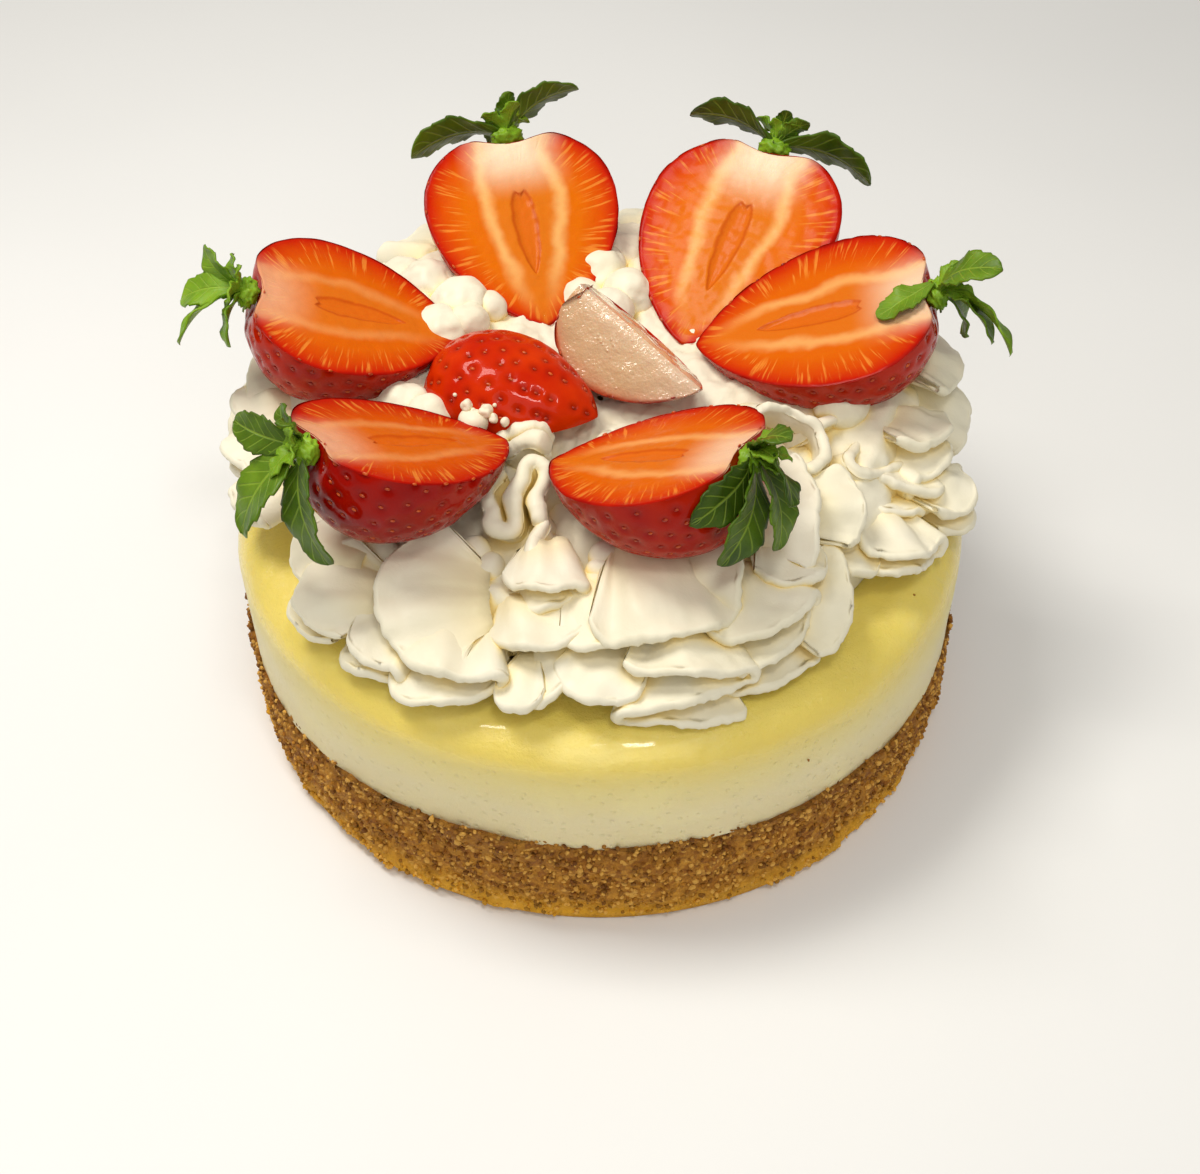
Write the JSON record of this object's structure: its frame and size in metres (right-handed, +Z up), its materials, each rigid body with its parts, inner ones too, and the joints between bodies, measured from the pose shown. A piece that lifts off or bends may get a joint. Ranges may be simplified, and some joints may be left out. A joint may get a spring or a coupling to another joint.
{
  "type": "strawberry cheesecake",
  "caption": "Round strawberry cheesecake: crumb crust, baked filling, piped cream folds and cut strawberries laid in a ring. It stands on its flat base to be served.",
  "frame": {"origin": "centre of the crust's flat underside, on the axis of the round cake", "axes": "+Z up through the cake, +X to the right and -Y to the front as it is usually seen"},
  "size_m": [0.1613, 0.1516, 0.1025],
  "materials": {
    "crumb_crust": "matte, coarse pressed crumb",
    "baked_filling": "smooth and softly shiny, with fine pores at the side",
    "whipped_cream": "soft satin, slightly translucent",
    "strawberry_red": "wet gloss, seeds in small pits, orange to cream cut face",
    "strawberry_pale": "wet gloss, pale flesh",
    "calyx_green": "satin leaf with veins"
  },
  "bodies": {
    "root": {"crust": "crumb_crust", "filling": "baked_filling", "cream": "whipped_cream", "strawberry_back_left": "strawberry_red", "strawberry_back_right": "strawberry_red", "strawberry_right": "strawberry_red", "strawberry_left": "strawberry_red", "strawberry_front_left": "strawberry_red", "strawberry_front_right": "strawberry_red", "strawberry_middle_red": "strawberry_red", "strawberry_middle_pale": "strawberry_pale", "calyx_back_left": "calyx_green", "calyx_back_right": "calyx_green", "calyx_right": "calyx_green", "calyx_left": "calyx_green", "calyx_front_left": "calyx_green", "calyx_front_right": "calyx_green"}
  },
  "joints": []
}
